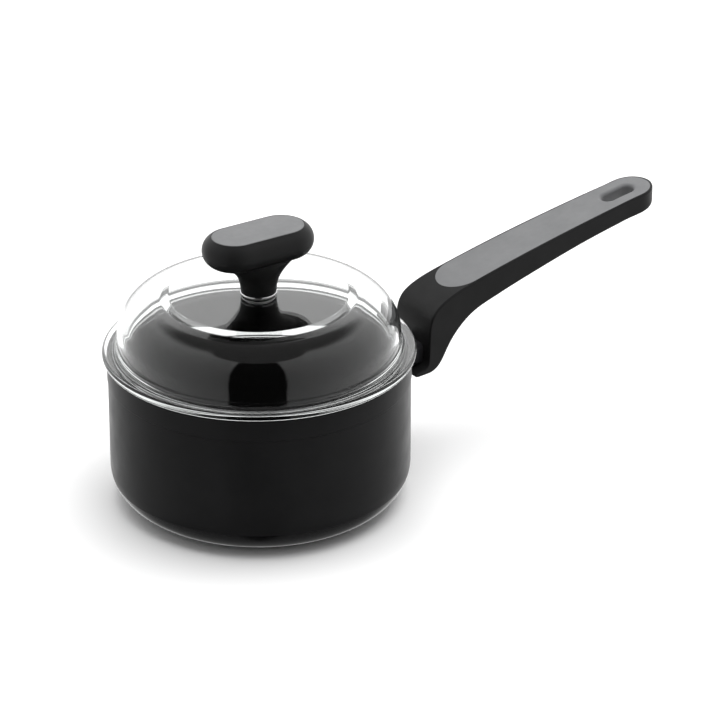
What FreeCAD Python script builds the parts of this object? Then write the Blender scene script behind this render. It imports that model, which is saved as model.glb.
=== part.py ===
import FreeCAD, Part
import math
import os

# A 16 cm saucepan with a glass lid, in millimetres.
# Origin: centre of the underside of the pan. +X runs along the handle, +Z is up.
# The lid, with its knob, lies loose on the rim of the pan.

Vector = FreeCAD.Vector
ORIGIN = Vector(0, 0, 0)
UP = Vector(0, 0, 1)
ACROSS = Vector(0, 1, 0)
TOUCH = 0.01             # two heights nearer than this are the same

# ---- pan ----
PAN_R = 83.0             # outside of the band below the rim
PAN_WALL = 3.0
PAN_H = 84.1
PAN_STEP = 0.4           # the wall below the band stands back by this much
PAN_STEP_Z = 71.4
PAN_BASE = 4.4
PAN_CORNER_R = 21.0      # outside radius between base and wall
PAN_BODY_R = PAN_R - PAN_STEP
PAN_INNER_R = PAN_R - PAN_WALL
INNER_CORNER_R = PAN_CORNER_R - PAN_WALL + PAN_STEP
RIM_ROUND = 1.3

PLATE_R = 55.0           # steel plate pressed into the underside
PLATE_T = 0.8
PLATE_HOLE_R = 1.6
PLATE_HOLE_RINGS = ((16.0, 8), (26.0, 13), (36.0, 18), (46.0, 23))
PRESS_GAP = 0.05

# ---- handle ----
EDGE_ROUND = 1.1         # along the top of the handle
UNDER_ROUND = 2.8        # along its underside
# Cuts across the handle from its chin, under the flame guard, to its tip.
# Each cut: top (x, z), bottom (x, z), half width, top edge radius, bottom edge radius.
HANDLE_CUTS = (
    ((91.0, 53.4), (91.0, 51.6), 18.0, 0.8, 0.8),
    ((93.6, 53.9), (94.2, 51.3), 18.0, 0.9, 1.1),
    ((97.2, 55.2), (98.4, 51.2), 17.8, 1.1, 1.7),
    ((99.6, 58.8), (102.4, 51.4), 17.6, 1.1, 2.4),
    ((100.1, 66.0), (106.2, 53.2), 17.5, EDGE_ROUND, UNDER_ROUND),
    ((100.6, 77.5), (110.6, 58.8), 17.3, EDGE_ROUND, UNDER_ROUND),
    ((104.4, 87.4), (115.4, 66.5), 17.0, EDGE_ROUND, UNDER_ROUND),
    ((112.0, 92.6), (121.0, 72.7), 16.5, EDGE_ROUND, UNDER_ROUND),
    ((122.2, 96.4), (129.0, 78.9), 16.0, EDGE_ROUND, UNDER_ROUND),
    ((136.0, 100.1), (139.0, 83.5), 15.7, EDGE_ROUND, UNDER_ROUND),
    ((152.0, 104.0), (153.0, 88.1), 15.5, EDGE_ROUND, UNDER_ROUND),
    ((178.0, 109.85), (178.0, 95.5), 15.1, EDGE_ROUND, UNDER_ROUND),
    ((205.0, 115.4), (205.0, 102.7), 14.5, EDGE_ROUND, UNDER_ROUND),
    ((228.0, 119.8), (228.0, 107.8), 13.95, EDGE_ROUND, UNDER_ROUND),
)
TIP_R = 13.6             # round tip seen from above
TIP_CENTRE_X = 247.8
TIP_TOP_Z = 123.3
TIP_BOTTOM_Z = 111.4
TIP_TOP_SLOPE = 0.15
TIP_BOTTOM_SLOPE = 0.17
TIP_TOP_DROP = 0.5       # the top falls and the underside rises towards the very end
TIP_BOTTOM_RISE = 1.0
TIP_EDGE_SHARE = 0.7     # edge radius, at most, as a share of the half width
TIP_ANGLES = (0, 25, 45, 60, 72, 80, 85)

INLAY_T = 2.4
INLAY_LEFT_X = 132.3     # centre of the round end of the inlay near the pan
INLAY_LEFT_R = 14.2
INLAY_RIGHT_X = 247.8
INLAY_RIGHT_R = 12.1
TALL = 150.0             # taller than the handle, for prisms seen from above

HANG_X = 239.8           # hanging slot
HANG_Z = 121.9
HANG_TILT = 8.5          # degrees, square to the top of the handle there
HANG_L = 20.8
HANG_W = 9.0
HANG_LINER = 2.8
HANG_SOFT_R = 2.0
HANG_REACH = 30.0        # the slot's prism runs this far each way, right through the handle
RIM_SEARCH = 4.0         # where edges of the slot's upper rim may lie, from HANG_Z
RIM_MARGIN = 0.5

# ---- joint between pan and handle ----
PAD_T = 1.5              # foot of the bracket, welded to the wall
PAD_HALF_W = 9.4
PAD_Z = (56.0, 65.6)
TONGUE_X = 110.0
TONGUE_HALF_W = 7.5
TONGUE_Z = (57.4, 64.6)
POCKET_GAP = 0.3
GUARD_HALF_W = 11.0
GUARD_Z = (54.4, 67.0)
GUARD_T = 1.2
GUARD_ROUND = 3.0
GUARD_END_X = 103.3      # before it is cut to the face of the handle
SCREW_X = 103.0          # the screw goes up through the handle into the bracket
SCREW_R = 2.45
SCREW_HOLE_R = 2.5
SCREW_CLEAR_R = 2.7
SCREW_HEAD_R = 3.8
SCREW_HEAD_Z = 52.4
SCREW_HEAD_T = 2.4
SCREW_TOP_Z = 64.0
LOCK_WASHER_T = 1.0
COUNTERBORE_R = 4.1
CROSS_W = 1.2            # cross recess in a screw head
CROSS_HALF_L = 1.9
CROSS_DEPTH = 1.3
HEAD_ROUND_SHARE = 0.6   # rounding of a screw head, as a share of its thickness
SCREW_POINT_ROUND = 0.5
SPLIT_HALF_W = 0.3       # split of the lock washer

# ---- glass lid ----
LID_GAP = 0.3            # between rim and flange
FLANGE_R = 85.5
FLANGE_T = 4.0
FLANGE_Z = PAN_H + LID_GAP
FLANGE_ROUND = 1.9
FLANGE_FILLET = 3.8
RIB_R = 78.7             # locating rib inside the rim
RIB_INNER_R = 75.2
RIB_Z = 81.0
RIB_ROUND = 1.2
RIB_FILLET = 1.0
DOME_R = 77.2
DOME_TOP_Z = 119.7
# Corners of the dome's section (x, z, radius), outside from the side to the flat top,
# inside from the flat top to the side. The flat inside reaches a little further out.
DOME_OUTSIDE = ((DOME_R, 101.0, 22.0), (70.5, 117.1, 22.0), (48.8, DOME_TOP_Z, 10.0))
GLASS_T = 4.0
GLASS_HOLE_R = 4.0
HOLE_EDGE = 0.3
GLASS_LOW_Z = DOME_TOP_Z - GLASS_T
DOME_INSIDE = ((53.0, GLASS_LOW_Z, 10.0), (67.5, 113.9, 18.0), (73.2, 100.2, 18.0))

# ---- knob ----
KNOB_FOOT_Z = 121.2
KNOB_TOP_Z = 156.5
KNOB_HALF_L = 14.45      # from the knob's axis to the centre of each round end
KNOB_SIDE_R = 8.8        # section of the bulging side
KNOB_SIDE_X = 18.0
KNOB_SIDE_Z = 148.6
# Cuts through the stem: height, half length along the head, half width.
KNOB_STEM_CUTS = (
    (KNOB_FOOT_Z, 9.7, 9.7),
    (124.0, 9.95, 9.95),
    (128.0, 10.75, 10.6),
    (131.3, 12.2, 11.7),
    (135.0, 15.6, 12.8),
    (138.3, 20.5, 13.6),
    (141.5, 26.0, 14.0),
)
KNOB_INLAY_R = 12.7
KNOB_INLAY_T = 2.4
KNOB_INLAY_PROUD = 0.15
KNOB_INLAY_ROUND = 0.5
KNOB_RING_R = 10.0       # thin steel ring under the foot of the knob
KNOB_RING_ROUND = 0.3
UPPER_GASKET_R = 9.4
UPPER_GASKET_T = 0.6
LOWER_GASKET_R = 9.2
LOWER_GASKET_T = 1.0
GASKET_ROUND = 0.3
SLEEVE_R = 3.9           # collar of the lower gasket, inside the hole of the glass
KNOB_WASHER_R = 8.0
KNOB_WASHER_T = 1.0
KNOB_SCREW_R = 1.95
KNOB_SCREW_HEAD_R = 4.0
KNOB_SCREW_HEAD_T = 2.6
KNOB_SCREW_TOP_Z = 133.0
KNOB_SCREW_CLEAR_R = 2.2
KNOB_INSERT_R = 3.4
KNOB_INSERT_BORE_R = 2.0
KNOB_INSERT_Z = (121.6, 134.0)


def rounded_outline(corners):
    """Closed outline in the XZ plane from corners (x, z, radius)."""
    count = len(corners)
    starts, middles, ends = [], [], []
    for i, (x, z, radius) in enumerate(corners):
        corner = Vector(x, 0, z)
        before = Vector(corners[i - 1][0], 0, corners[i - 1][1])
        after = Vector(corners[(i + 1) % count][0], 0, corners[(i + 1) % count][1])
        to_before = (before - corner).normalize()
        to_after = (after - corner).normalize()
        half = to_before.getAngle(to_after) / 2
        reach = radius / math.tan(half)
        starts.append(corner + to_before * reach)
        ends.append(corner + to_after * reach)
        inward = (to_before + to_after).normalize()
        middles.append(corner + inward * (radius / math.sin(half) - radius))
    edges = []
    for i in range(count):
        if corners[i][2] > 0:
            edges.append(Part.Arc(starts[i], middles[i], ends[i]).toShape())
        next_start = starts[(i + 1) % count]
        if ends[i].distanceToPoint(next_start) > 1e-6:
            edges.append(Part.makeLine(ends[i], next_start))
    return Part.Wire(edges)


def turned(corners):
    """Solid of revolution about Z from an outline of corners (x, z, radius)."""
    return Part.Face(rounded_outline(corners)).revolve(ORIGIN, UP, 360)


def disc(radius, z_low, z_high, x=0.0):
    return Part.makeCylinder(radius, z_high - z_low, Vector(x, 0, z_low))


def ring(outer, inner, z_low, z_high, x=0.0):
    return disc(outer, z_low, z_high, x).cut(disc(inner, z_low, z_high, x))


def block(x_low, x_high, half_width, z_low, z_high):
    corner = Vector(x_low, -half_width, z_low)
    return Part.makeBox(x_high - x_low, 2 * half_width, z_high - z_low, corner)


def slot(length, width, z_low, z_high):
    """Long-hole shaped prism about the Z axis, lying along X."""
    radius = width / 2
    half = length / 2 - radius
    middle = block(-half, half, radius, z_low, z_high)
    ends = [disc(radius, z_low, z_high, side * half) for side in (-1, 1)]
    return middle.multiFuse(ends).removeSplitter()


def hang_place(shape):
    """Move a shape from the Z axis to the hanging slot, square to the handle."""
    shape.rotate(ORIGIN, ACROSS, -HANG_TILT)
    shape.translate(Vector(HANG_X, 0, HANG_Z))
    return shape


def hang_sleeve():
    """The hanging slot with the liner round it, as one prism."""
    length = HANG_L + 2 * HANG_LINER
    width = HANG_W + 2 * HANG_LINER
    return hang_place(slot(length, width, -HANG_REACH, HANG_REACH))


# ---- pan ----

def make_pan_body():
    corners = [
        (0, PLATE_T, 0),
        (PLATE_R + PRESS_GAP, PLATE_T, 0),
        (PLATE_R + PRESS_GAP, 0, 0),
        (PAN_BODY_R, 0, PAN_CORNER_R),
        (PAN_BODY_R, PAN_STEP_Z, 0),
        (PAN_R, PAN_STEP_Z + PAN_STEP, 0),
        (PAN_R, PAN_H, RIM_ROUND),
        (PAN_INNER_R, PAN_H, RIM_ROUND),
        (PAN_INNER_R, PAN_BASE, INNER_CORNER_R),
        (0, PAN_BASE, 0),
    ]
    return turned(corners)


def make_base_plate():
    holes = []
    for ring_r, count in PLATE_HOLE_RINGS:
        for i in range(count):
            angle = 2 * math.pi * i / count
            place = Vector(ring_r * math.cos(angle), ring_r * math.sin(angle), 0)
            holes.append(Part.makeCylinder(PLATE_HOLE_R, PLATE_T, place))
    return disc(PLATE_R, 0, PLATE_T).cut(Part.makeCompound(holes))


# ---- handle ----

def handle_cut(top, bottom, half_width, top_round, bottom_round):
    """Rounded rectangle standing across the handle, from its bottom to its top."""
    top = Vector(top[0], 0, top[1])
    bottom = Vector(bottom[0], 0, bottom[1])
    rise = (top - bottom).normalize()
    edges = []
    previous = None
    first = None
    for base, up, side, radius in ((top, -1, 1, top_round), (bottom, 1, 1, bottom_round),
                                   (bottom, 1, -1, bottom_round), (top, -1, -1, top_round)):
        flat_end = base + ACROSS * side * (half_width - radius)
        wall_end = base + ACROSS * side * half_width + rise * up * radius
        near_corner = radius * (1 - math.sqrt(0.5))
        middle = base + ACROSS * side * (half_width - near_corner) + rise * up * near_corner
        ends = (flat_end, wall_end) if (base is top) == (side > 0) else (wall_end, flat_end)
        if previous is None:
            first = ends[0]
        else:
            edges.append(Part.makeLine(previous, ends[0]))
        edges.append(Part.Arc(ends[0], middle, ends[1]).toShape())
        previous = ends[1]
    edges.append(Part.makeLine(previous, first))
    return Part.Wire(edges)


def tip_cuts():
    """Cuts that narrow along a round outline to the tip of the handle."""
    cuts = []
    for degrees in TIP_ANGLES:
        angle = math.radians(degrees)
        along = TIP_R * math.sin(angle)
        half_width = TIP_R * math.cos(angle)
        fall = 1 - math.cos(angle)
        top_z = TIP_TOP_Z + TIP_TOP_SLOPE * along - TIP_TOP_DROP * fall
        bottom_z = TIP_BOTTOM_Z + TIP_BOTTOM_SLOPE * along + TIP_BOTTOM_RISE * fall
        x = TIP_CENTRE_X + along
        largest = TIP_EDGE_SHARE * half_width
        cuts.append(((x, top_z), (x, bottom_z), half_width,
                     min(EDGE_ROUND, largest), min(UNDER_ROUND, largest)))
    return cuts


def make_handle_blank():
    wires = [handle_cut(*cut) for cut in list(HANDLE_CUTS) + tip_cuts()]
    return Part.makeLoft(wires, True, False)


def inlay_plan():
    """Outline of the handle's inlay seen from above, as a tall prism."""
    lean = (INLAY_LEFT_R - INLAY_RIGHT_R) / (INLAY_RIGHT_X - INLAY_LEFT_X)
    cosine = math.sqrt(1 - lean * lean)
    left = Vector(INLAY_LEFT_X + INLAY_LEFT_R * lean, INLAY_LEFT_R * cosine, 0)
    right = Vector(INLAY_RIGHT_X + INLAY_RIGHT_R * lean, INLAY_RIGHT_R * cosine, 0)
    left_far = Vector(left.x, -left.y, 0)
    right_far = Vector(right.x, -right.y, 0)
    edges = [
        Part.makeLine(left, right),
        Part.Arc(right, Vector(INLAY_RIGHT_X + INLAY_RIGHT_R, 0, 0), right_far).toShape(),
        Part.makeLine(right_far, left_far),
        Part.Arc(left_far, Vector(INLAY_LEFT_X - INLAY_LEFT_R, 0, 0), left).toShape(),
    ]
    return Part.Face(Part.Wire(edges)).extrude(UP * TALL)


def make_handle_inlay(blank):
    """Soft skin let into the top of the handle, with a sleeve down the hanging slot."""
    lowered = blank.copy()
    lowered.translate(Vector(0, 0, -INLAY_T))
    skin = blank.common(inlay_plan()).cut(lowered)
    sleeve = blank.common(hang_sleeve())
    hole = hang_place(slot(HANG_L, HANG_W, -HANG_REACH, HANG_REACH))
    inlay = skin.fuse(sleeve).cut(hole).removeSplitter()
    return inlay.makeFillet(HANG_SOFT_R, slot_rim(inlay))


def slot_rim(inlay):
    """Edges where the hanging slot comes out of the top of the inlay."""
    half_l = HANG_L / 2 + RIM_MARGIN
    half_w = HANG_W / 2 + RIM_MARGIN
    rim = []
    for edge in inlay.Edges:
        box = edge.BoundBox
        inside_x = box.XMin > HANG_X - half_l and box.XMax < HANG_X + half_l
        inside_y = box.YMin > -half_w and box.YMax < half_w
        at_top = box.ZMin > HANG_Z - RIM_SEARCH and box.ZLength < RIM_SEARCH
        if inside_x and inside_y and at_top:
            rim.append(edge)
    return rim


def make_handle_body(blank, inlay):
    pocket = block(PAN_BODY_R, TONGUE_X + POCKET_GAP, TONGUE_HALF_W + POCKET_GAP,
                   TONGUE_Z[0] - POCKET_GAP, TONGUE_Z[1] + POCKET_GAP)
    shelf_z = SCREW_HEAD_Z + SCREW_HEAD_T + LOCK_WASHER_T
    body = blank.cut(inlay).cut(hang_sleeve()).cut(pocket)
    body = body.cut(disc(COUNTERBORE_R, 0, shelf_z, SCREW_X))
    return body.cut(disc(SCREW_CLEAR_R, 0, TONGUE_Z[0], SCREW_X))


# ---- joint between pan and handle ----

def make_handle_bracket():
    pad = ring(PAN_BODY_R + PAD_T, PAN_BODY_R, PAD_Z[0], PAD_Z[1])
    pad = pad.common(block(0, PAN_R + PAD_T, PAD_HALF_W, PAD_Z[0], PAD_Z[1]))
    tongue = block(0, TONGUE_X, TONGUE_HALF_W, TONGUE_Z[0], TONGUE_Z[1])
    tongue = tongue.cut(disc(PAN_BODY_R, 0, PAN_H))
    hole = disc(SCREW_HOLE_R, 0, PAN_H, SCREW_X)
    return pad.fuse(tongue).cut(hole).removeSplitter()


def make_flame_guard(blank):
    """Sleeve round the bracket, between the wall of the pan and the handle."""
    half_z = (GUARD_Z[1] - GUARD_Z[0]) / 2
    middle_z = (GUARD_Z[1] + GUARD_Z[0]) / 2
    shapes = []
    for inset in (0, GUARD_T):
        y = GUARD_HALF_W - inset
        z = half_z - inset
        corner_r = GUARD_ROUND - inset
        corners = [(-y, middle_z - z, corner_r), (y, middle_z - z, corner_r),
                   (y, middle_z + z, corner_r), (-y, middle_z + z, corner_r)]
        tube = Part.Face(rounded_outline(corners)).extrude(Vector(0, -GUARD_END_X, 0))
        tube.rotate(ORIGIN, UP, 90)
        shapes.append(tube)
    return shapes[0].cut(shapes[1]).cut(disc(PAN_BODY_R, 0, PAN_H)).cut(blank)


def cross_recess(z_high, x=0.0):
    """Two crossed slots, to be cut from the underside of a screw up to z_high."""
    slots = []
    for half_x, half_y in ((CROSS_HALF_L, CROSS_W / 2), (CROSS_W / 2, CROSS_HALF_L)):
        slots.append(block(x - half_x, x + half_x, half_y, 0, z_high))
    return slots[0].fuse(slots[1])


def screw(head_r, head_t, shank_r, head_z, top_z, x=0.0):
    """Screw pointing up, with a rounded head and a cross recess underneath."""
    body = turned([
        (0, head_z, 0),
        (head_r, head_z, head_t * HEAD_ROUND_SHARE),
        (head_r, head_z + head_t, 0),
        (shank_r, head_z + head_t, 0),
        (shank_r, top_z, SCREW_POINT_ROUND),
        (0, top_z, 0),
    ])
    body.translate(Vector(x, 0, 0))
    return body.cut(cross_recess(head_z + CROSS_DEPTH, x))


def make_handle_screw():
    return screw(SCREW_HEAD_R, SCREW_HEAD_T, SCREW_R, SCREW_HEAD_Z, SCREW_TOP_Z, SCREW_X)


def make_handle_lock_washer():
    """Split ring between the screw head and the handle."""
    z_low = SCREW_HEAD_Z + SCREW_HEAD_T
    washer = ring(SCREW_HEAD_R, SCREW_CLEAR_R, z_low, z_low + LOCK_WASHER_T, SCREW_X)
    split = block(SCREW_X, SCREW_X + SCREW_HEAD_R, SPLIT_HALF_W, z_low, z_low + LOCK_WASHER_T)
    return washer.cut(split)


# ---- lid ----

def make_glass_lid():
    flange_top = FLANGE_Z + FLANGE_T
    corners = [
        (FLANGE_R, FLANGE_Z, FLANGE_ROUND),
        (FLANGE_R, flange_top, FLANGE_ROUND),
        (DOME_R, flange_top, FLANGE_FILLET),
        *DOME_OUTSIDE,
        (GLASS_HOLE_R, DOME_TOP_Z, HOLE_EDGE),
        (GLASS_HOLE_R, GLASS_LOW_Z, HOLE_EDGE),
        *DOME_INSIDE,
        (RIB_INNER_R, RIB_Z, RIB_ROUND),
        (RIB_R, RIB_Z, RIB_ROUND),
        (RIB_R, FLANGE_Z, RIB_FILLET),
    ]
    return turned(corners)


# ---- knob ----

def stadium(radius, z_low, z_high):
    return slot(2 * (KNOB_HALF_L + radius), 2 * radius, z_low, z_high)


def knob_head():
    """Long head with bulging sides: one rounded section carried round a stadium."""
    z_low = KNOB_SIDE_Z - KNOB_SIDE_R
    z_high = KNOB_SIDE_Z + KNOB_SIDE_R
    end_section = [(0, z_low, 0), (KNOB_SIDE_X, z_low, KNOB_SIDE_R),
                   (KNOB_SIDE_X, z_high, KNOB_SIDE_R), (0, z_high, 0)]
    middle_section = [(-KNOB_SIDE_X, z_low, KNOB_SIDE_R), (KNOB_SIDE_X, z_low, KNOB_SIDE_R),
                      (KNOB_SIDE_X, z_high, KNOB_SIDE_R), (-KNOB_SIDE_X, z_high, KNOB_SIDE_R)]
    middle = Part.Face(rounded_outline(middle_section))
    middle.translate(Vector(0, -KNOB_HALF_L, 0))
    middle = middle.extrude(Vector(0, 2 * KNOB_HALF_L, 0))
    middle.rotate(ORIGIN, UP, 90)
    ends = []
    for side in (-1, 1):
        end = turned(end_section)
        end.translate(Vector(side * KNOB_HALF_L, 0, 0))
        ends.append(end)
    head = middle.multiFuse(ends)
    reach = KNOB_HALF_L + KNOB_SIDE_X
    return head.cut(block(-reach, reach, KNOB_SIDE_X, KNOB_TOP_Z, z_high))


def knob_stem():
    wires = []
    for z, half_l, half_w in KNOB_STEM_CUTS:
        if half_l > half_w:
            curve = Part.Ellipse(Vector(half_l, 0, z), Vector(0, half_w, z), Vector(0, 0, z))
        else:
            curve = Part.Circle(Vector(0, 0, z), UP, half_l)
        wires.append(Part.Wire(curve.toShape()))
    return Part.makeLoft(wires, True, False)


def make_knob_body():
    body = knob_head().fuse(knob_stem()).removeSplitter()
    body = body.cut(stadium(KNOB_INLAY_R, KNOB_TOP_Z - KNOB_INLAY_T, KNOB_TOP_Z))
    body = body.cut(disc(KNOB_INSERT_R, KNOB_INSERT_Z[0], KNOB_INSERT_Z[1]))
    return body.cut(disc(KNOB_SCREW_CLEAR_R, KNOB_FOOT_Z, KNOB_INSERT_Z[0]))


def make_knob_inlay():
    top_z = KNOB_TOP_Z + KNOB_INLAY_PROUD
    inlay = stadium(KNOB_INLAY_R, KNOB_TOP_Z - KNOB_INLAY_T, top_z)
    rim = [edge for edge in inlay.Edges if edge.BoundBox.ZMin > top_z - TOUCH]
    return inlay.makeFillet(KNOB_INLAY_ROUND, rim)


def make_knob_ring():
    z_low = DOME_TOP_Z + UPPER_GASKET_T
    return turned([(KNOB_SCREW_CLEAR_R, z_low, 0), (KNOB_RING_R, z_low, KNOB_RING_ROUND),
                   (KNOB_RING_R, KNOB_FOOT_Z, KNOB_RING_ROUND), (KNOB_SCREW_CLEAR_R, KNOB_FOOT_Z, 0)])


def make_knob_upper_gasket():
    return ring(UPPER_GASKET_R, KNOB_SCREW_CLEAR_R, DOME_TOP_Z, DOME_TOP_Z + UPPER_GASKET_T)


def make_knob_lower_gasket():
    return turned([
        (KNOB_SCREW_CLEAR_R, GLASS_LOW_Z - LOWER_GASKET_T, 0),
        (LOWER_GASKET_R, GLASS_LOW_Z - LOWER_GASKET_T, GASKET_ROUND),
        (LOWER_GASKET_R, GLASS_LOW_Z, GASKET_ROUND),
        (SLEEVE_R, GLASS_LOW_Z, 0),
        (SLEEVE_R, DOME_TOP_Z, 0),
        (KNOB_SCREW_CLEAR_R, DOME_TOP_Z, 0),
    ])


def make_knob_washer():
    z_high = GLASS_LOW_Z - LOWER_GASKET_T
    return ring(KNOB_WASHER_R, KNOB_SCREW_CLEAR_R, z_high - KNOB_WASHER_T, z_high)


def make_knob_screw():
    head_z = GLASS_LOW_Z - LOWER_GASKET_T - KNOB_WASHER_T - KNOB_SCREW_HEAD_T
    return screw(KNOB_SCREW_HEAD_R, KNOB_SCREW_HEAD_T, KNOB_SCREW_R, head_z, KNOB_SCREW_TOP_Z)


def make_knob_insert():
    return ring(KNOB_INSERT_R, KNOB_INSERT_BORE_R, KNOB_INSERT_Z[0], KNOB_INSERT_Z[1])


def main():
    os.makedirs("parts", exist_ok=True)
    blank = make_handle_blank()
    inlay = make_handle_inlay(blank)
    parts = {
        "pan_body": make_pan_body(),
        "base_plate": make_base_plate(),
        "handle_bracket": make_handle_bracket(),
        "flame_guard": make_flame_guard(blank),
        "handle_body": make_handle_body(blank, inlay),
        "handle_inlay": inlay,
        "handle_screw": make_handle_screw(),
        "handle_lock_washer": make_handle_lock_washer(),
        "glass_lid": make_glass_lid(),
        "knob_body": make_knob_body(),
        "knob_inlay": make_knob_inlay(),
        "knob_ring": make_knob_ring(),
        "knob_upper_gasket": make_knob_upper_gasket(),
        "knob_lower_gasket": make_knob_lower_gasket(),
        "knob_washer": make_knob_washer(),
        "knob_screw": make_knob_screw(),
        "knob_insert": make_knob_insert(),
    }
    for node, shape in parts.items():
        print(node, shape.isValid(), len(shape.Solids), round(shape.Volume, 1))
        shape.exportStep("parts/" + node + ".step")


main()
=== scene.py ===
import math

import bmesh
import bpy
import numpy as np
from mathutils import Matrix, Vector


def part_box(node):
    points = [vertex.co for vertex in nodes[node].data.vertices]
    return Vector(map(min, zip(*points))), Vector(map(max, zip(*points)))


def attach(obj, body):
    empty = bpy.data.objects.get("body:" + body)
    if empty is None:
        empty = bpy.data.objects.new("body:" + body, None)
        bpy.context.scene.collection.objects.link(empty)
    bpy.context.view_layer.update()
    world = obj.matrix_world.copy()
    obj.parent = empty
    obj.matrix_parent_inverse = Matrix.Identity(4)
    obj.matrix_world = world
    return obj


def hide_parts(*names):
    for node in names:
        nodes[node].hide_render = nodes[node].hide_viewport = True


MM = 0.001

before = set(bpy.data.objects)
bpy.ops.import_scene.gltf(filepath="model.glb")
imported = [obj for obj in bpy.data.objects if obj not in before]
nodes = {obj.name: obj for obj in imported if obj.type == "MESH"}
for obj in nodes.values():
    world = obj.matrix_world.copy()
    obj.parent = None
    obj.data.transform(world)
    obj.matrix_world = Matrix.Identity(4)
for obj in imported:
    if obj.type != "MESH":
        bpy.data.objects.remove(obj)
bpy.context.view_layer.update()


# ---------------------------------------------------------------- camera

VIEW_AZIMUTH = math.radians(33.0)      # the camera looks along +Y, turned this far towards +X
VIEW_ELEVATION = math.radians(25.93)
TARGET_REACH = 54.71 * MM              # the middle of the view, from the pan's axis to camera right
TARGET_Z = 79.34 * MM
VIEW_TARGET = Vector((TARGET_REACH * math.cos(VIEW_AZIMUTH),
                      -TARGET_REACH * math.sin(VIEW_AZIMUTH), TARGET_Z))
VIEW_DISTANCE = 2.1769
LENS_MM = 200.0
SENSOR_MM = 36.0
FAR_CLIP = 50.0


def studio_direction(azimuth, elevation):
    """Unit vector from the pan. Azimuth 0 is towards the camera, 90 is to its right."""
    turn = math.radians(azimuth)
    rise = math.radians(elevation)
    towards = Vector((-math.sin(VIEW_AZIMUTH), -math.cos(VIEW_AZIMUTH), 0))
    right = Vector((math.cos(VIEW_AZIMUTH), -math.sin(VIEW_AZIMUTH), 0))
    level = towards * math.cos(turn) + right * math.sin(turn)
    return level * math.cos(rise) + Vector((0, 0, math.sin(rise)))


def aim(obj, target):
    direction = target - obj.location
    obj.rotation_euler = direction.to_track_quat("-Z", "Y").to_euler()


def make_camera():
    data = bpy.data.cameras.new("camera")
    data.lens = LENS_MM
    data.sensor_width = SENSOR_MM
    data.clip_end = FAR_CLIP
    camera = bpy.data.objects.new("camera", data)
    camera.location = VIEW_TARGET + studio_direction(0, math.degrees(VIEW_ELEVATION)) * VIEW_DISTANCE
    aim(camera, VIEW_TARGET)
    bpy.context.scene.collection.objects.link(camera)
    bpy.context.scene.camera = camera


# ---------------------------------------------------------------- materials

DARKER = 0.9             # darker patches of a metal, as a share of its colour


def new_material(name):
    material = bpy.data.materials.new(name)
    material.use_nodes = True
    tree = material.node_tree
    return material, tree, tree.nodes["Principled BSDF"]


def object_coordinates(tree):
    return tree.nodes.new("ShaderNodeTexCoord").outputs["Object"]


def noise(tree, scale, detail=2.0, roughness=0.5):
    texture = tree.nodes.new("ShaderNodeTexNoise")
    texture.inputs["Scale"].default_value = scale
    texture.inputs["Detail"].default_value = detail
    texture.inputs["Roughness"].default_value = roughness
    tree.links.new(object_coordinates(tree), texture.inputs["Vector"])
    return texture.outputs["Fac"]


def spread(tree, value, low, high, from_low=0.3, from_high=0.7):
    """Map a noise value to the range low..high."""
    node = tree.nodes.new("ShaderNodeMapRange")
    node.inputs["From Min"].default_value = from_low
    node.inputs["From Max"].default_value = from_high
    node.inputs["To Min"].default_value = low
    node.inputs["To Max"].default_value = high
    tree.links.new(value, node.inputs["Value"])
    return node.outputs["Result"]


def tint(tree, value, dark, light):
    """Blend two colours by a value."""
    node = tree.nodes.new("ShaderNodeMix")
    node.data_type = "RGBA"
    node.inputs["A"].default_value = (*dark, 1)
    node.inputs["B"].default_value = (*light, 1)
    tree.links.new(value, node.inputs["Factor"])
    return node.outputs["Result"]


def bump(tree, shader, height, strength, distance):
    node = tree.nodes.new("ShaderNodeBump")
    node.inputs["Strength"].default_value = strength
    node.inputs["Distance"].default_value = distance
    tree.links.new(height, node.inputs["Height"])
    tree.links.new(node.outputs["Normal"], shader.inputs["Normal"])


def outer_coating():
    """Smooth black enamel on the outside of the pan."""
    material, tree, shader = new_material("outer_coating")
    cloud = noise(tree, 38.0, 3.0)
    tree.links.new(tint(tree, spread(tree, cloud, 0, 1), (0.0095, 0.0095, 0.0098), (0.0120, 0.0120, 0.0124)),
                   shader.inputs["Base Color"])
    tree.links.new(spread(tree, noise(tree, 90.0, 4.0), 0.30, 0.37), shader.inputs["Roughness"])
    shader.inputs["Specular IOR Level"].default_value = 0.085
    bump(tree, shader, noise(tree, 1400.0, 2.0), 0.12, 0.00005)
    return material


def inner_coating():
    """Glossy non-stick inside the pan, with fine flecks."""
    material, tree, shader = new_material("inner_coating")
    flecks = spread(tree, noise(tree, 2600.0, 1.0), 0, 1, 0.66, 0.78)
    tree.links.new(tint(tree, flecks, (0.004, 0.004, 0.0043), (0.03, 0.03, 0.031)),
                   shader.inputs["Base Color"])
    tree.links.new(spread(tree, noise(tree, 60.0, 3.0), 0.14, 0.22), shader.inputs["Roughness"])
    shader.inputs["Specular IOR Level"].default_value = 0.45
    bump(tree, shader, noise(tree, 900.0, 2.0), 0.10, 0.00005)
    return material


def phenolic():
    """Black moulded thermoset of the handle and the knob."""
    material, tree, shader = new_material("black_phenolic")
    tree.links.new(tint(tree, spread(tree, noise(tree, 55.0, 3.0), 0, 1), (0.0095, 0.0095, 0.0097),
                        (0.0120, 0.0120, 0.0123)), shader.inputs["Base Color"])
    tree.links.new(spread(tree, noise(tree, 120.0, 4.0), 0.36, 0.46), shader.inputs["Roughness"])
    shader.inputs["Specular IOR Level"].default_value = 0.18
    bump(tree, shader, noise(tree, 2400.0, 2.0), 0.15, 0.00004)
    return material


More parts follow.
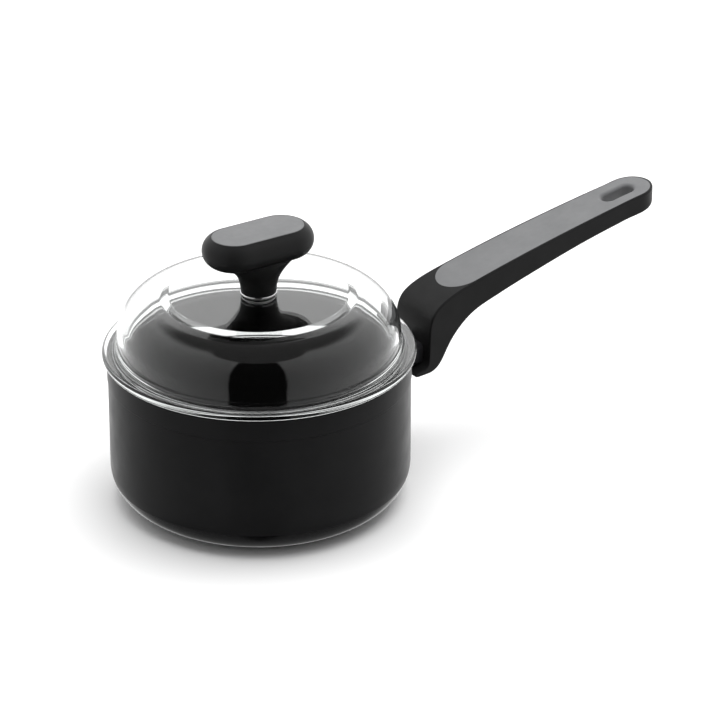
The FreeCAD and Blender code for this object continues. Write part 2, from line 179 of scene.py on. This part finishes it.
def soft_grey():
    """Matt grey soft-touch inlay."""
    material, tree, shader = new_material("grey_soft")
    tree.links.new(tint(tree, spread(tree, noise(tree, 70.0, 4.0), 0, 1), (0.150, 0.152, 0.155),
                        (0.171, 0.173, 0.176)), shader.inputs["Base Color"])
    tree.links.new(spread(tree, noise(tree, 300.0, 3.0), 0.55, 0.68), shader.inputs["Roughness"])
    shader.inputs["Specular IOR Level"].default_value = 0.35
    shader.inputs["Sheen Weight"].default_value = 0.08
    shader.inputs["Sheen Roughness"].default_value = 0.4
    bump(tree, shader, noise(tree, 3200.0, 2.0), 0.25, 0.00004)
    return material


def clear_glass():
    """Pressed soda-lime glass, faintly green where the path through it is long."""
    material, tree, shader = new_material("lid_glass")
    shader.inputs["Base Color"].default_value = (1, 1, 1, 1)
    shader.inputs["Transmission Weight"].default_value = 1.0
    shader.inputs["IOR"].default_value = 1.5
    tree.links.new(spread(tree, noise(tree, 30.0, 3.0), 0.0, 0.012, 0.45, 0.8), shader.inputs["Roughness"])
    bump(tree, shader, noise(tree, 14.0, 1.0), 0.06, 0.0006)
    absorb = tree.nodes.new("ShaderNodeVolumeAbsorption")
    absorb.inputs["Color"].default_value = (0.72, 0.90, 0.84, 1)
    absorb.inputs["Density"].default_value = 7.0
    tree.links.new(absorb.outputs["Volume"], tree.nodes["Material Output"].inputs["Volume"])
    return material


def metal(name, colour, low, high, scale=400.0):
    """Bare metal. low and high are the ends of its roughness, scale the fineness of its grain."""
    material, tree, shader = new_material(name)
    shader.inputs["Metallic"].default_value = 1.0
    dark = tuple(DARKER * c for c in colour)
    tree.links.new(tint(tree, spread(tree, noise(tree, 60.0, 3.0), 0, 1), dark, colour),
                   shader.inputs["Base Color"])
    grain = noise(tree, scale, 3.0, 0.6)
    tree.links.new(spread(tree, grain, low, high), shader.inputs["Roughness"])
    bump(tree, shader, grain, 0.1, 0.00003)
    return material


def silicone():
    """Translucent pale gasket rubber."""
    material, tree, shader = new_material("silicone")
    tree.links.new(tint(tree, spread(tree, noise(tree, 200.0, 2.0), 0, 1), (0.50, 0.50, 0.49),
                        (0.58, 0.58, 0.57)), shader.inputs["Base Color"])
    tree.links.new(spread(tree, noise(tree, 500.0, 2.0), 0.35, 0.5), shader.inputs["Roughness"])
    shader.inputs["Subsurface Weight"].default_value = 0.2
    shader.inputs["Subsurface Radius"].default_value = (0.001, 0.001, 0.001)
    return material


def guard_paint():
    """Dark grey paint of the block between wall and handle."""
    material, tree, shader = new_material("guard_paint")
    tree.links.new(tint(tree, spread(tree, noise(tree, 80.0, 3.0), 0, 1), (0.014, 0.014, 0.016),
                        (0.022, 0.022, 0.024)), shader.inputs["Base Color"])
    tree.links.new(spread(tree, noise(tree, 150.0, 3.0), 0.28, 0.4), shader.inputs["Roughness"])
    bump(tree, shader, noise(tree, 1800.0, 2.0), 0.1, 0.00004)
    return material


def floor_paper():
    """White paper with faint clouds."""
    material, tree, shader = new_material("floor_paper")
    tree.links.new(tint(tree, spread(tree, noise(tree, 3.0, 2.0), 0, 1), (0.90, 0.90, 0.90),
                        (0.93, 0.93, 0.93)), shader.inputs["Base Color"])
    shader.inputs["Roughness"].default_value = 0.9
    shader.inputs["Specular IOR Level"].default_value = 0.1
    return material


# ---------------------------------------------------------------- lathe

def rounded_profile(corners, step_degrees=4.0):
    """Closed outline of (radius, height) points from corners (radius, height, rounding)."""
    count = len(corners)
    points = []
    for i, (x, z, rounding) in enumerate(corners):
        corner = np.array((x, z), float)
        if rounding <= 0:
            points.append(corner)
            continue
        before = np.array(corners[i - 1][:2], float) - corner
        after = np.array(corners[(i + 1) % count][:2], float) - corner
        before /= np.linalg.norm(before)
        after /= np.linalg.norm(after)
        half = math.acos(float(np.clip(before @ after, -1, 1))) / 2
        inward = (before + after) / np.linalg.norm(before + after)
        centre = corner + inward * rounding / math.sin(half)
        start = corner + before * rounding / math.tan(half) - centre
        turn = math.pi - 2 * half
        side = 1.0 if before[0] * after[1] - before[1] * after[0] < 0 else -1.0
        steps = max(3, int(math.degrees(turn) / step_degrees))
        for k in range(steps + 1):
            angle = side * turn * k / steps
            cosine, sine = math.cos(angle), math.sin(angle)
            points.append(centre + np.array((cosine * start[0] - sine * start[1],
                                             sine * start[0] + cosine * start[1])))
    return points


def lathe(name, corners, segments=256, step_degrees=4.0, zones=None):
    """Closed solid of revolution about Z. zones gives a material index for each profile edge."""
    profile = rounded_profile(corners, step_degrees)
    mesh = bmesh.new()
    rings = []
    for radius, height in profile:
        if radius < 1e-9:
            rings.append([mesh.verts.new((0, 0, height))])
            continue
        ring = []
        for k in range(segments):
            angle = 2 * math.pi * k / segments
            ring.append(mesh.verts.new((radius * math.cos(angle), radius * math.sin(angle), height)))
        rings.append(ring)
    for i, ring in enumerate(rings):
        following = rings[(i + 1) % len(rings)]
        if len(ring) == 1 and len(following) == 1:
            continue
        low, high = profile[i], profile[(i + 1) % len(rings)]
        index = 0 if zones is None else zones((low + high) / 2)
        for k in range(segments):
            after = (k + 1) % segments
            if len(ring) == 1:
                face = mesh.faces.new((ring[0], following[k], following[after]))
            elif len(following) == 1:
                face = mesh.faces.new((ring[k], following[0], ring[after]))
            else:
                face = mesh.faces.new((ring[k], following[k], following[after], ring[after]))
            face.material_index = index
            face.smooth = True
    bmesh.ops.recalc_face_normals(mesh, faces=mesh.faces)
    return mesh_object(name, mesh)


def mesh_object(name, mesh):
    data = bpy.data.meshes.new(name)
    mesh.to_mesh(data)
    mesh.free()
    obj = bpy.data.objects.new(name, data)
    bpy.context.scene.collection.objects.link(obj)
    return obj


def sharpen(obj, degrees):
    """Keep real corners crisp: edges that turn by more than this are sharp."""
    mesh = bmesh.new()
    mesh.from_mesh(obj.data)
    for edge in mesh.edges:
        if len(edge.link_faces) == 2 and edge.calc_face_angle(0) > math.radians(degrees):
            edge.smooth = False
    mesh.to_mesh(obj.data)
    mesh.free()
    return obj


def finish_piece(obj, body, node, slot, *materials):
    for material in materials:
        obj.data.materials.append(material)
    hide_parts(node)
    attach(obj, body)
    return obj


# ---------------------------------------------------------------- pan

pan_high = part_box("pan_body")[1]
lid_low, lid_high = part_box("glass_lid")
plate_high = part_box("base_plate")[1]

WALL = 3.0 * MM
STEP = 0.4 * MM
STEP_BELOW_RIM = 12.7 * MM
BASE = 4.4 * MM
CORNER = 21.0 * MM
RIM_ROUND = 1.3 * MM
SOFT_STEP = 0.25 * MM
PLATE_CLEARANCE = 0.05 * MM
RECESS_ROUND = 0.3 * MM
CREASE_DEGREES = 40


def make_pan():
    outer = pan_high.x
    inner = outer - WALL
    lower = outer - STEP
    rim = pan_high.z
    step_z = rim - STEP_BELOW_RIM
    plate_r = plate_high.x + PLATE_CLEARANCE
    corners = [
        (0, plate_high.z, 0),
        (plate_r, plate_high.z, 0),
        (plate_r, 0, RECESS_ROUND),
        (lower, 0, CORNER),
        (lower, step_z, SOFT_STEP),
        (outer, step_z + STEP, SOFT_STEP),
        (outer, rim, RIM_ROUND),
        (inner, rim, RIM_ROUND),
        (inner, BASE, CORNER - WALL + STEP),
        (0, BASE, 0),
    ]

    def zone(point):
        """Material index: 0 for the outer coating, 1 for the inner one."""
        inside = point[0] < (inner + outer) / 2 and point[1] > BASE / 2
        return 1 if inside else 0

    pan = lathe("pan_shell", corners, zones=zone, step_degrees=3.0)
    sharpen(pan, CREASE_DEGREES)
    finish_piece(pan, "pan", "pan_body", "pan_coating", outer_coating(), inner_coating())


# ---------------------------------------------------------------- glass lid

FLANGE_T = 4.0 * MM
FLANGE_ROUND = 1.9 * MM
FLANGE_FILLET = 3.8 * MM
RIB_R = 78.7 * MM
RIB_INNER_R = 75.2 * MM
RIB_ROUND = 1.2 * MM
RIB_FILLET = 1.0 * MM
DOME_R = 77.2 * MM
GLASS_T = 4.0 * MM
HOLE_R = 4.0 * MM
HOLE_ROUND = 0.3 * MM
LID_GAP = 0.3 * MM        # from the rim of the pan to the flange

# Corners of the dome as (radius, height, rounding). The outer flat top is smaller than the
# inner one, so a wedge of glass lies between their edges.
DOME_SIDE = (DOME_R, 101.0 * MM, 22.0 * MM)
DOME_SHOULDER = (70.5 * MM, 117.1 * MM, 22.0 * MM)
OUTER_FLAT_R = 48.8 * MM
INNER_FLAT_R = 53.0 * MM
FLAT_ROUND = 10.0 * MM
INNER_SHOULDER = (67.5 * MM, 113.9 * MM, 18.0 * MM)
INNER_SIDE = (73.2 * MM, 100.2 * MM, 18.0 * MM)


def make_lid():
    flange_r = lid_high.x
    top = lid_high.z
    flange_z = pan_high.z + LID_GAP
    corners = [
        (flange_r, flange_z, FLANGE_ROUND),
        (flange_r, flange_z + FLANGE_T, FLANGE_ROUND),
        (DOME_R, flange_z + FLANGE_T, FLANGE_FILLET),
        DOME_SIDE,
        DOME_SHOULDER,
        (OUTER_FLAT_R, top, FLAT_ROUND),
        (HOLE_R, top, HOLE_ROUND),
        (HOLE_R, top - GLASS_T, HOLE_ROUND),
        (INNER_FLAT_R, top - GLASS_T, FLAT_ROUND),
        INNER_SHOULDER,
        INNER_SIDE,
        (RIB_INNER_R, lid_low.z, RIB_ROUND),
        (RIB_R, lid_low.z, RIB_ROUND),
        (RIB_R, flange_z, RIB_FILLET),
    ]
    lid = lathe("lid_glass", corners, segments=320, step_degrees=1.5)
    finish_piece(lid, "lid", "glass_lid", "lid_glass", clear_glass())


# ---------------------------------------------------------------- kept CAD nodes

def finish_cad_nodes():
    black = phenolic()
    grey = soft_grey()
    screw_steel = metal("screw_steel", (0.60, 0.60, 0.61), 0.22, 0.38)
    finishes = {
        "base_plate": metal("plate_steel", (0.56, 0.56, 0.57), 0.25, 0.45, 900.0),
        "handle_bracket": metal("bracket_aluminium", (0.62, 0.62, 0.64), 0.35, 0.5),
        "flame_guard": guard_paint(),
        "handle_body": black,
        "handle_inlay": grey,
        "handle_screw": screw_steel,
        "handle_lock_washer": screw_steel,
        "knob_body": black,
        "knob_inlay": grey,
        "knob_ring": metal("ring_steel", (0.85, 0.85, 0.86), 0.06, 0.12),
        "knob_upper_gasket": silicone(),
        "knob_lower_gasket": silicone(),
        "knob_washer": screw_steel,
        "knob_screw": screw_steel,
        "knob_insert": metal("insert_brass", (0.75, 0.58, 0.30), 0.2, 0.35),
    }
    for node, material in finishes.items():
        data = nodes[node].data
        if not data.materials:
            data.materials.append(material)
        for i in range(len(data.materials)):
            data.materials[i] = material


# ---------------------------------------------------------------- studio

FLOOR_HALF = 6.0
FLOOR_DROP = 0.0002                    # the floor lies this far under the pan
LIGHT_TARGET = Vector((0, 0, 0.09))
LIGHT_AZIMUTH = 150
LIGHT_ELEVATION = 80
LIGHT_DISTANCE = 2.2
LIGHT_SIZE = 2.6
LIGHT_POWER = 74

WALL_MEAN = 0.90                       # brightness of the room beside the pan
WALL_SLOPE = -0.52                     # change of it towards the camera
BELOW = (-0.80, -0.44, 0.20, 1.0)      # the room fades between these heights, from and to these levels
GAP_SLOPE = -0.42                      # half width of the dark gap, per unit towards the camera
GAP_EDGE = (-0.02, 0.03)
GAP_TOP = (0.87, 0.89)
GAP_LEVEL = 0.05
CEILING_LEVEL = 0.20
FRONT_CEILING = (0.12, 0.915, 0.940)   # tilt towards the camera, then the edge's two heights
REAR_CEILING = (-0.42, 0.86, 1.0)
BACKDROP_LEVEL = 1.0                   # what the camera sees directly


def make_floor():
    """Pale paper. The world takes its place in mirrors and through glass."""
    mesh = bmesh.new()
    bmesh.ops.create_grid(mesh, x_segments=1, y_segments=1, size=FLOOR_HALF)
    floor = mesh_object("floor", mesh)
    floor.location = (0, 0, -FLOOR_DROP)
    floor.data.materials.append(floor_paper())
    floor.visible_glossy = False
    floor.visible_transmission = False


def make_light():
    """One large soft light above, lighting the pan without being mirrored in it."""
    data = bpy.data.lights.new("overhead", "AREA")
    data.shape = "RECTANGLE"
    data.size = LIGHT_SIZE
    data.size_y = LIGHT_SIZE
    data.energy = LIGHT_POWER
    light = bpy.data.objects.new("overhead", data)
    light.location = studio_direction(LIGHT_AZIMUTH, LIGHT_ELEVATION) * LIGHT_DISTANCE + LIGHT_TARGET
    aim(light, LIGHT_TARGET)
    light.visible_camera = False
    light.visible_glossy = False
    light.visible_transmission = False
    bpy.context.scene.collection.objects.link(light)


def make_world():
    """Pale walls all round, brightest behind the pan, with a dark gap at the camera and a dim ceiling."""
    world = bpy.data.worlds.new("studio")
    bpy.context.scene.world = world
    world.use_nodes = True
    tree = world.node_tree
    background = tree.nodes["Background"]
    background.inputs["Color"].default_value = (1, 1, 1, 1)
    coordinates = tree.nodes.new("ShaderNodeTexCoord").outputs["Generated"]

    def dot(vector):
        node = tree.nodes.new("ShaderNodeVectorMath")
        node.operation = "DOT_PRODUCT"
        tree.links.new(coordinates, node.inputs[0])
        node.inputs[1].default_value = vector
        return node.outputs["Value"]

    def math_node(operation, *values):
        node = tree.nodes.new("ShaderNodeMath")
        node.operation = operation
        for socket, value in zip(node.inputs, values):
            if isinstance(value, (int, float)):
                socket.default_value = value
            else:
                tree.links.new(value, socket)
        return node.outputs["Value"]

    def ramp(value, low, high, start=0.0, end=1.0):
        node = tree.nodes.new("ShaderNodeMapRange")
        node.interpolation_type = "SMOOTHSTEP"
        node.inputs["From Min"].default_value = low
        node.inputs["From Max"].default_value = high
        node.inputs["To Min"].default_value = start
        node.inputs["To Max"].default_value = end
        tree.links.new(value, node.inputs["Value"])
        return node.outputs["Result"]

    towards = dot(studio_direction(0, 0))
    sideways = math_node("ABSOLUTE", dot(studio_direction(90, 0)))
    upwards = dot((0, 0, 1))

    def ceiling_edge(tilt, low, high):
        return ramp(math_node("MULTIPLY_ADD", towards, tilt, upwards), low, high)

    walls = math_node("MULTIPLY_ADD", towards, WALL_SLOPE, WALL_MEAN)
    walls = math_node("MULTIPLY", walls, ramp(upwards, *BELOW))
    beside_gap = ramp(math_node("MULTIPLY_ADD", towards, GAP_SLOPE, sideways), *GAP_EDGE)
    outside_gap = math_node("MAXIMUM", beside_gap, ramp(upwards, *GAP_TOP))
    walls = math_node("MULTIPLY", walls, math_node("MAXIMUM", outside_gap, GAP_LEVEL))
    in_ceiling = math_node("MAXIMUM", ceiling_edge(*FRONT_CEILING), ceiling_edge(*REAR_CEILING))
    lit = math_node("MULTIPLY_ADD", walls, math_node("SUBTRACT", 1.0, in_ceiling),
                    math_node("MULTIPLY", in_ceiling, CEILING_LEVEL))
    path = tree.nodes.new("ShaderNodeLightPath")
    mix = tree.nodes.new("ShaderNodeMix")
    mix.data_type = "FLOAT"
    mix.inputs["B"].default_value = BACKDROP_LEVEL
    tree.links.new(path.outputs["Is Camera Ray"], mix.inputs["Factor"])
    tree.links.new(lit, mix.inputs["A"])
    tree.links.new(mix.outputs["Result"], background.inputs["Strength"])


def make_view():
    settings = bpy.context.scene.view_settings
    settings.view_transform = "Standard"
    settings.look = "None"


make_camera()
make_pan()
make_lid()
finish_cad_nodes()
make_floor()
make_world()
make_light()
make_view()
